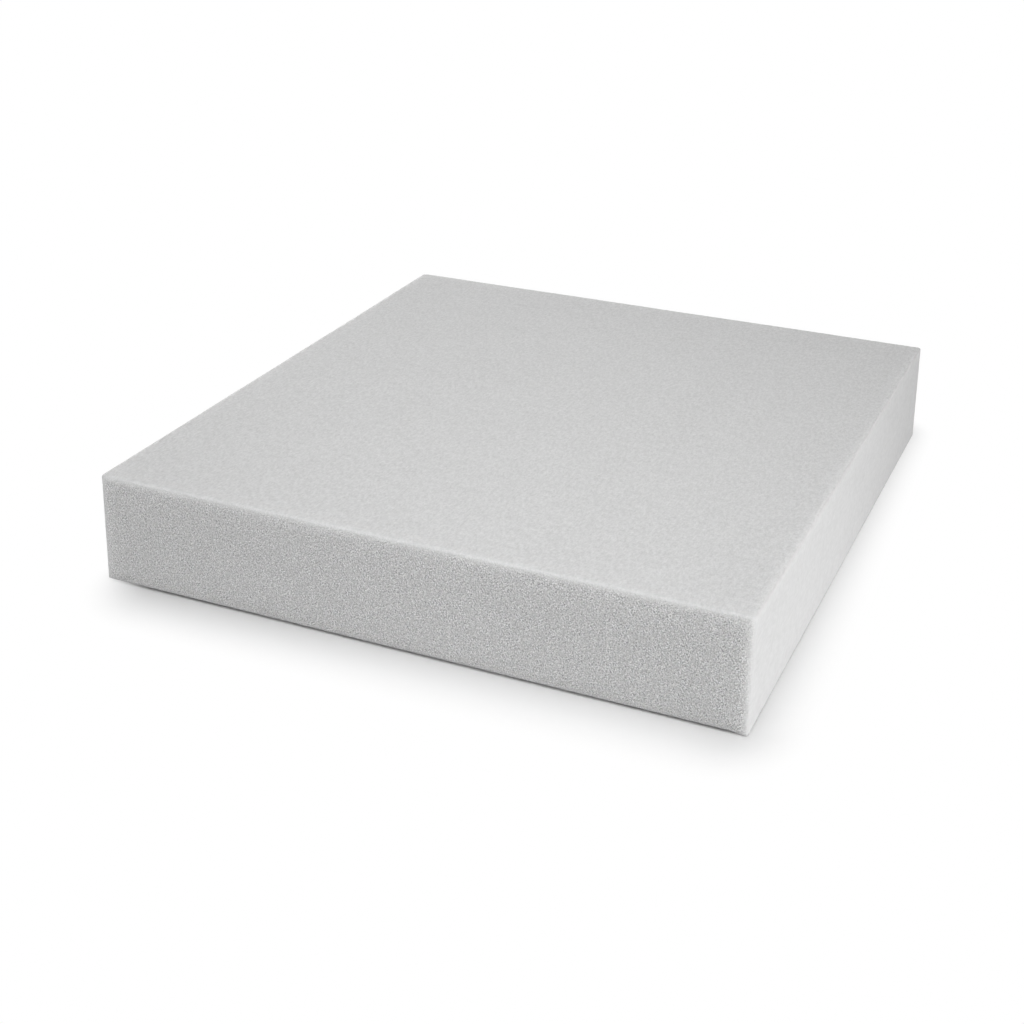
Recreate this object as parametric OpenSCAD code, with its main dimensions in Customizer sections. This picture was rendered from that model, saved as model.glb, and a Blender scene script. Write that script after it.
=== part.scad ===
// Block of open-cell upholstery foam, cut square from a slab and laid on its broad face.
// It is one solid piece. The origin is the centre of the face that it rests on, with
// +Z up and the front face towards -Y.

/* [Block] */
// Length of the front and back faces, left to right
block_width = 600; // [150:5:1200]
// Length of the side faces, front to back
block_depth = 620; // [150:5:1200]
// Thickness of the slab that the block is cut from
slab_thickness = 104; // [25:1:300]

/* [Edges] */
// Plan radius of the four upright corners, where two saw cuts meet
corner_radius = 3; // [0.5:0.5:15]
// Radius of the edge all round the top face
top_edge_radius = 2; // [0.5:0.25:8]
// Radius of the edge all round the face that the block rests on
bottom_edge_radius = 1.5; // [0.5:0.25:8]

/* [Hidden] */
// Segments in a full circle
$fn = 48;
// A rounded edge can't turn a corner that is tighter than its own radius
turn_radius = max(corner_radius, top_edge_radius, bottom_edge_radius);
// Length of each face between its corners
straight_width = block_width - 2 * turn_radius;
straight_depth = block_depth - 2 * turn_radius;
// How far a cut runs past the face that it cuts
cut_margin = 1;

// What the rounding takes off a square edge, with the round's centre at the origin.
module edge_waste(radius) {
    difference() {
        square(radius + cut_margin);
        circle(r = radius);
    }
}

// Half of the slab's section, from the middle out to the face at x = reach. The block
// rests on y = 0, and the edges at its top and bottom have radii of their own.
module half_section(reach) {
    difference() {
        square([reach, slab_thickness]);
        translate([reach - top_edge_radius, slab_thickness - top_edge_radius])
            edge_waste(top_edge_radius);
        translate([reach - bottom_edge_radius, bottom_edge_radius])
            mirror([0, 1])
                edge_waste(bottom_edge_radius);
    }
}

// The whole section, from face to face.
module full_section(length) {
    for (side = [0, 1])
        mirror([side, 0])
            half_section(length / 2);
}

// A straight length of slab, standing up and running along Y.
module straight_run(section_length, run_length) {
    rotate([90, 0, 0])
        linear_extrude(height = run_length, center = true)
            full_section(section_length);
}

// A corner, where the same section is turned about an upright axis, so that the
// rounded edges run on from one face to the next.
module turned_corner() {
    rotate_extrude()
        half_section(turn_radius);
}

module foam_block() {
    color("Silver") {
        straight_run(block_width, straight_depth);
        rotate([0, 0, 90])
            straight_run(block_depth, straight_width);
        for (x = [-1, 1], y = [-1, 1])
            translate([x * straight_width / 2, y * straight_depth / 2, 0])
                turned_corner();
    }
}

foam_block();
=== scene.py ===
import math

import bmesh
import bpy
from mathutils import Matrix, Vector, noise


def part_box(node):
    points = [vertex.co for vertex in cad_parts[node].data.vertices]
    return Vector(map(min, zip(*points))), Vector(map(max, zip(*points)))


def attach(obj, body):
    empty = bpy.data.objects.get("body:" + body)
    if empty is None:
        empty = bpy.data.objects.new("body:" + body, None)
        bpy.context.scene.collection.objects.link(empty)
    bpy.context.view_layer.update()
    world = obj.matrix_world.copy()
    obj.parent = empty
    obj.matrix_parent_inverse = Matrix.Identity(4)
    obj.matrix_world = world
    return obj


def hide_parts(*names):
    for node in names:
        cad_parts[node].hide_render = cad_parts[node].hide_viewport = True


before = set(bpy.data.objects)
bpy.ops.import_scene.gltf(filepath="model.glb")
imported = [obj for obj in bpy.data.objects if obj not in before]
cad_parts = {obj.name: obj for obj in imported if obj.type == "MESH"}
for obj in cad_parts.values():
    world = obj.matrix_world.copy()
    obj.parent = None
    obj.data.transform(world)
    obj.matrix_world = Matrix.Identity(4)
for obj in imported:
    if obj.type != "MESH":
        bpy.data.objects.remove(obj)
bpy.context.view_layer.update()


# ---------------------------------------------------------------------------------------
# Foam block
# One solid piece of grey open-cell polyurethane foam. The broad faces were split with a
# band knife and the four sides sawn square, so the cells lie open on every face. The
# edges are cut clean and only slightly rounded, with a cell torn out here and there.

block_low, block_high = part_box("foam_block")
block_size = block_high - block_low
block_centre = (block_low + block_high) / 2

corner_radius = 0.003
top_edge_radius = 0.002
bottom_edge_radius = 0.0015
round_segments = 3

bpy.ops.object.select_all(action="DESELECT")
bpy.ops.mesh.primitive_cube_add(size=1, location=block_centre)
foam = bpy.context.object
foam.name = foam.data.name = "foam"
foam.scale = block_size
bpy.ops.object.transform_apply(location=True, rotation=True, scale=True)


def select_edges(piece, wanted):
    """Selects the edges of a piece in edit mode that wanted(end, other end) asks for."""
    mesh = bmesh.from_edit_mesh(piece.data)
    for part in (*mesh.verts, *mesh.edges, *mesh.faces):
        part.select_set(False)
    for edge in mesh.edges:
        if wanted(edge.verts[0].co, edge.verts[1].co):
            edge.select_set(True)
    bmesh.update_edit_mesh(piece.data)


def close(a, b):
    """Whether two lengths are the same, to a thousandth of a millimetre."""
    return abs(a - b) < 1e-6


bpy.ops.object.mode_set(mode="EDIT")
bpy.ops.mesh.select_mode(type="EDGE")
edge_rounds = (
    (corner_radius, lambda a, b: close(a.x, b.x) and close(a.y, b.y)),
    (top_edge_radius, lambda a, b: close(a.z, block_high.z) and close(b.z, block_high.z)),
    (bottom_edge_radius, lambda a, b: close(a.z, block_low.z) and close(b.z, block_low.z)),
)
for radius, on_edge in edge_rounds:
    select_edges(foam, on_edge)
    bpy.ops.mesh.bevel(
        offset=radius, segments=round_segments, profile=0.5, affect="EDGES", clamp_overlap=False
    )

# The faces are cut into squares, and the squares are halved three times towards the edges,
# so that the edges are fine enough to be rough.
square_size = 0.008
halved_bands = ((0.020, 0.004), (0.010, 0.002), (0.004, 0.001))
worth_halving = 1.5

flat_low = block_low + Vector((corner_radius, corner_radius, bottom_edge_radius))
flat_high = block_high - Vector((corner_radius, corner_radius, top_edge_radius))
for axis in range(3):
    squares = round((flat_high[axis] - flat_low[axis]) / square_size)
    for line in range(squares + 1):
        place = flat_low.copy()
        place[axis] = flat_low[axis] + (flat_high[axis] - flat_low[axis]) * line / squares
        across = Vector((0, 0, 0))
        across[axis] = 1
        bpy.ops.mesh.select_all(action="SELECT")
        bpy.ops.mesh.bisect(plane_co=place, plane_no=across)


def edge_distance(place):
    """How far a place on the block's surface is from the nearest of its twelve edges."""
    gaps = sorted(min(place[i] - block_low[i], block_high[i] - place[i]) for i in range(3))
    return gaps[1]


for reach, halved_size in halved_bands:
    longest = worth_halving * halved_size
    select_edges(
        foam, lambda a, b: edge_distance((a + b) / 2) < reach and (a - b).length > longest
    )
    bpy.ops.mesh.subdivide(number_cuts=1, smoothness=0)
bpy.ops.object.mode_set(mode="OBJECT")
bpy.ops.object.shade_smooth()

# Sawn foam is never quite flat: the faces wave a little, and single cells are torn out
# along the edges, where the blade leaves them with nothing behind.
wave_height = 0.00025
wave_length = 0.09
tear_depth = 0.0002
tear_size = 0.0014
tear_reach = 0.0020
tear_bias = 0.35
fray_share = 0.3
fray_fineness = 2.3

# The lower edges of the front and back stand just clear of the floor, and come down to it
# at the right.
edge_lift = 0.0019
lift_reach = 0.020
lift_curve = 1.5
corner_reach = 0.014

# The saw ran a little out of square: the foot is wider than the top, and the block leans.
spread = Vector((0.0011, 0.0020, 0))
lean = Vector((-0.0004, 0, 0))

# Painted shade darkens the colour on the rounding of the left and right edges, and beside it on
# the top.
side_reach = 0.0045
side_shade_share = 0.37

outwards = [vertex.normal.copy() for vertex in foam.data.vertices]
edge_gaps = []
coarseness = []
smoothness = []
painted_edge_shade = []
for vertex, out in zip(foam.data.vertices, outwards):
    place = vertex.co.copy()
    edge_gap = edge_distance(place)
    side_gap = min(place.x - block_low.x, block_high.x - place.x)
    upward = max(out.z, 0)
    # painted shade on the roundings, which would otherwise catch light from two faces
    rounding_shade = 2 * abs(out.x) * math.hypot(out.y / 2, upward)
    beside_shade = side_shade_share * math.exp(-((side_gap / side_reach) ** 2)) * upward
    edge_gaps.append(edge_gap)
    coarseness.append(out.y**2)
    smoothness.append(out.x**2)
    painted_edge_shade.append(rounding_shade + beside_shade)

    wave = noise.noise(place / wave_length) * wave_height
    torn = noise.noise(place / tear_size) * (1 - fray_share)
    torn += noise.noise(place / tear_size * fray_fineness) * fray_share
    frayed = math.exp(-((edge_gap / tear_reach) ** 2))
    move = wave + frayed * tear_depth * (torn - tear_bias)
    if place.z < block_low.z + edge_lift:
        out.z = 0
        inset = min(place.y - block_low.y, block_high.y - place.y)
        lifted = max(0.0, 1 - inset / lift_reach) ** lift_curve
        lifted *= min(1.0, (block_high.x - place.x) / corner_reach)
        place.z += edge_lift * lifted * (1 - (place.z - block_low.z) / (2 * edge_lift))
        move = min(move, 0)
    place += out * move

    slack = 1 - 2 * (place.z - block_low.z) / block_size.z
    place.x += spread.x * slack * place.x / block_high.x
    place.y += spread.y * slack * place.y / block_high.y
    vertex.co = place + lean * slack

recorded = {
    "edge gap": edge_gaps,
    "coarseness": coarseness,
    "smoothness": smoothness,
    "painted_edge_shade": painted_edge_shade,
}
for name, values in recorded.items():
    foam.data.attributes.new(name, "FLOAT", "POINT").data.foreach_set("value", values)


class Wire:
    """A shader value that adds a Math node to its own node tree for each operator."""

    def __init__(self, tree, socket):
        self.tree = tree
        self.socket = socket

    def node(self, kind, settings=None, inputs=None, output=0):
        """Adds a node: its settings first, then the values or wires of its inputs."""
        made = self.tree.nodes.new(kind)
        for name, value in (settings or {}).items():
            setattr(made, name, value)
        for name, value in (inputs or {}).items():
            if isinstance(value, Wire):
                self.tree.links.new(value.socket, made.inputs[name])
            else:
                made.inputs[name].default_value = value
        return Wire(self.tree, made.outputs[output] if made.outputs else None)

    def maths(self, operation, *values):
        return self.node("ShaderNodeMath", {"operation": operation}, dict(enumerate(values)))

    def vector_maths(self, operation, *values, output=0):
        inputs = dict(enumerate(values))
        return self.node("ShaderNodeVectorMath", {"operation": operation}, inputs, output)

    def __add__(self, other):
        return self.maths("ADD", self, other)

    __radd__ = __add__

    def __sub__(self, other):
        return self.maths("SUBTRACT", self, other)

    def __rsub__(self, other):
        return self.maths("SUBTRACT", other, self)

    def __mul__(self, other):
        return self.maths("MULTIPLY", self, other)

    __rmul__ = __mul__

    def between(self, low, high):
        """0 below low, 1 above high and a smooth step from one to the other."""
        limits = {"Value": self, "From Min": low, "From Max": high}
        return self.node("ShaderNodeMapRange", {"interpolation_type": "SMOOTHSTEP"}, limits)


def new_material(name):
    """An empty material and the wire that its nodes are added through."""
    material = bpy.data.materials.new(name)
    material.use_nodes = True
    material.node_tree.nodes.clear()
    return material, Wire(material.node_tree, None)


foam_grey = 0.610
foam_roughness = 0.95
foam_sheen = 0.2
glow_reach = 0.018
edge_shade_depth = 0.19
coarse_lift = 0.11
grain_height = 0.0010

# the coarse grain of the front and back: open cells between their struts
cell_size = 0.0016
strut_from = 0.1
strut_to = 0.8
strut_middle = 0.45
strut_depth = 0.20
speckle_size = 0.0012
speckle_turn = math.radians(33)
speckle_depth = 1.5
middling_size = 0.0030
middling_depth = 0.20
clump_depth = 1.2
calm_from = 0.001
calm_to = 0.008
edge_grain = 0.25

# the faint grain of the other faces, drawn out from front to back
drawn_out = 0.5
faint_fine_size = 0.0013
faint_fine_depth = 0.24
faint_fine_loss = 0.85
faint_soft_size = 0.0029
faint_soft_depth = 0.20
faint_soft_loss = 0.45
faint_coarse_loss = 0.6

# the broad unevenness of tone in the whole slab
clump_size = 0.010
clump_tone = 0.07
cloud_size = 0.10
cloud_tone = 0.03
broad_detail = 1.0

foam_finish, shader = new_material("grey open-cell foam")
place = shader.node("ShaderNodeTexCoord", output="Object")
edge_gap = shader.node("ShaderNodeAttribute", {"attribute_name": "edge gap"}, output="Fac")
coarse = shader.node("ShaderNodeAttribute", {"attribute_name": "coarseness"}, output="Fac")
smooth = shader.node("ShaderNodeAttribute", {"attribute_name": "smoothness"}, output="Fac")
painted_shade = shader.node("ShaderNodeAttribute", {"attribute_name": "painted_edge_shade"}, output="Fac")


def mottle(place, size, detail=0.0):
    """Noise from 0 to 1, with features of about that size in metres."""
    sizes = {"Vector": place, "Scale": 1 / size, "Detail": detail, "Roughness": 0.5}
    return shader.node("ShaderNodeTexNoise", {"noise_dimensions": "3D"}, sizes)


# the coarse grain is flat on the front and back, so that its cells are all cut alike
flat = shader.vector_maths("MULTIPLY", place, (1, 0, 1))
drawn = shader.vector_maths("MULTIPLY", place, (1, drawn_out, 1))
turned = shader.node(
    "ShaderNodeVectorRotate",
    {"rotation_type": "Y_AXIS"},
    {"Vector": flat, "Angle": speckle_turn},
)
cells = shader.node(
    "ShaderNodeTexVoronoi",
    {"feature": "F1", "voronoi_dimensions": "3D"},
    {"Vector": flat, "Scale": 1 / cell_size, "Randomness": 1.0},
    output="Distance",
)
struts = cells.between(strut_from, strut_to) - strut_middle
fine = mottle(turned, speckle_size) - 0.5
middling = mottle(flat, middling_size) - 0.5
faint_fine = mottle(drawn, faint_fine_size) - 0.5
faint_soft = mottle(drawn, faint_soft_size) - 0.5
clumps = mottle(place, clump_size, broad_detail) - 0.5
clouds = mottle(place, cloud_size, broad_detail) - 0.5

calm = edge_grain + (1 - edge_grain) * edge_gap.between(calm_from, calm_to)
speckle = struts * strut_depth + fine * speckle_depth + middling * middling_depth
speckle = speckle * coarse * calm * (1 + clump_depth * clumps)
faint_fine = faint_fine * (1 - faint_fine_loss * smooth)
faint_soft = faint_soft * (1 - faint_soft_loss * smooth)
faint = faint_soft * faint_soft_depth + faint_fine * faint_fine_depth
faint = faint * (1 - faint_coarse_loss * coarse)
tone = 1 + speckle + faint + clumps * clump_tone + clouds * cloud_tone + coarse_lift * coarse
height = (speckle + faint) * grain_height
relief = shader.node("ShaderNodeBump", inputs={"Strength": 1.0, "Distance": 1.0, "Height": height})
# the base colour carries the painted shade of the edge roundings
surface = shader.node(
    "ShaderNodeBsdfPrincipled",
    {"subsurface_method": "RANDOM_WALK"},
    {
        "Base Color": foam_grey * tone * (1 - edge_shade_depth * painted_shade),
        "Roughness": foam_roughness,
        "Specular IOR Level": foam_sheen,
        "Subsurface Weight": 1.0,
        "Subsurface Radius": (1.0, 1.0, 1.0),
        "Subsurface Scale": glow_reach,
        "Normal": relief,
    },
)
shader.node("ShaderNodeOutputMaterial", inputs={"Surface": surface})
foam.data.materials.append(foam_finish)

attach(foam, "root")
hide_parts("foam_block")


# ---------------------------------------------------------------------------------------
# Floor
# A broad sweep of white board that the block lies on. It keeps the block's soft shadow
# within the shaded zone close to it, and is pure white further off.

floor_reach = 12.0
floor_sides = 96
floor_grey = 0.846
shade_low = Vector((-0.2417, -0.3015, 0))
shade_high = Vector((0.2698, 0.3100, 0))
shade_centre = (shade_low + shade_high) / 2
shade_half = (shade_high - shade_low) / 2
shade_from = 0.013
shade_to = 0.0792
back_fade = 0.0381

bpy.ops.object.select_all(action="DESELECT")
bpy.ops.mesh.primitive_circle_add(vertices=floor_sides, radius=floor_reach, fill_type="NGON")
floor = bpy.context.object
floor.name = floor.data.name = "floor"


def looked_at(shader):
    """1 where a surface is looked at, mirrored or seen through glass, and 0 as light falls."""
    camera_ray = shader.node("ShaderNodeLightPath", output="Is Camera Ray")
    mirror_ray = shader.node("ShaderNodeLightPath", output="Is Glossy Ray")
    glass_ray = shader.node("ShaderNodeLightPath", output="Is Transmission Ray")
    return shader.maths("MAXIMUM", camera_ray, shader.maths("MAXIMUM", mirror_ray, glass_ray))


# the distance from the shaded zone, which is a rectangle and narrows a little to the back
floor_finish, shader = new_material("white floor")
place = shader.node("ShaderNodeTexCoord", output="Object")
away = shader.vector_maths("SUBTRACT", place, shade_centre)
away = shader.vector_maths("SUBTRACT", shader.vector_maths("ABSOLUTE", away), shade_half)
away = shader.vector_maths("MAXIMUM", away, (0, 0, 0))
gap = shader.vector_maths("LENGTH", away, output="Value")
back = shader.node("ShaderNodeSeparateXYZ", inputs={0: place}, output="Y")
behind = shader.maths("MAXIMUM", back + block_size.y / 2, 0)
far = (gap + behind * back_fade).between(shade_from, shade_to)

board = (floor_grey, floor_grey, floor_grey, 1)
matt = shader.node("ShaderNodeBsdfDiffuse", inputs={"Color": board})
plain = shader.node("ShaderNodeEmission", inputs={"Color": (1, 1, 1, 1), "Strength": 1.0})
mixed = shader.node("ShaderNodeMixShader", inputs={0: far * looked_at(shader), 1: matt, 2: plain})
shader.node("ShaderNodeOutputMaterial", inputs={"Surface": mixed})
floor.data.materials.append(floor_finish)


# ---------------------------------------------------------------------------------------
# Light
# Soft studio light: two broad softboxes from the left, two overhead and one near the
# front, and small ones low down at the front left and to the right. The surround is white
# only where it is looked at or mirrored, so it lights nothing by itself.

light_aim = Vector((0, 0, 0.05))
softboxes = (
    ("back left softbox", (-1.345, 1.345, 0.618), 1.2, 16.0),
    ("high left softbox", (-1.414, 0.0, 1.414), 1.2, 6.15),
    ("low front left softbox", (-0.6, -1.5, 0.14), 0.25, 3.25),
    ("near front softbox", (0.25, -0.75, 0.6), 0.5, 1.55),
    ("low right softbox", (1.6, -0.4, 0.11), 0.2, 11.95),
    ("front overhead softbox", (0.3, -0.3, 1.4), 0.8, 9.07),
    ("overhead softbox", (0.0, 0.0, 1.4), 1.0, 3.61),
)
for name, stand, size, watts in softboxes:
    lamp = bpy.data.lights.new(name, "AREA")
    lamp.shape = "SQUARE"
    lamp.size = size
    lamp.energy = watts
    softbox = bpy.data.objects.new(name, lamp)
    softbox.location = stand
    softbox.rotation_euler = (light_aim - Vector(stand)).to_track_quat("-Z", "Y").to_euler()
    bpy.context.scene.collection.objects.link(softbox)

surround = bpy.data.worlds.new("surround")
surround.use_nodes = True
surround.node_tree.nodes.clear()
shader = Wire(surround.node_tree, None)
dark = shader.node("ShaderNodeBackground", inputs={"Color": (0, 0, 0, 1), "Strength": 0.0})
white = shader.node("ShaderNodeBackground", inputs={"Color": (1, 1, 1, 1), "Strength": 1.0})
sky = shader.node("ShaderNodeMixShader", inputs={0: looked_at(shader), 1: dark, 2: white})
shader.node("ShaderNodeOutputWorld", inputs={"Surface": sky})
bpy.context.scene.world = surround


# ---------------------------------------------------------------------------------------
# Camera
# A lens of 55 mm on a stand in front of the block, to its right and a little above it.
# The lens is shifted slightly, which frames the block without turning the camera.

camera_place = Vector((0.5538, -1.2980, 0.7065))
camera_aim = Vector((0.0041, -0.0178, 0.0520))
camera_roll = math.radians(0.469)

lens = bpy.data.cameras.new("camera")
lens.lens = 55.29
lens.sensor_width = 36
lens.shift_x = -0.0338
lens.shift_y = -0.0498
camera = bpy.data.objects.new("camera", lens)
bpy.context.scene.collection.objects.link(camera)
turn = (camera_aim - camera_place).to_track_quat("-Z", "Y").to_matrix()
camera.matrix_world = Matrix.Translation(camera_place) @ (
    turn @ Matrix.Rotation(camera_roll, 3, "Z")
).to_4x4()
bpy.context.scene.camera = camera
bpy.context.scene.view_settings.view_transform = "Standard"
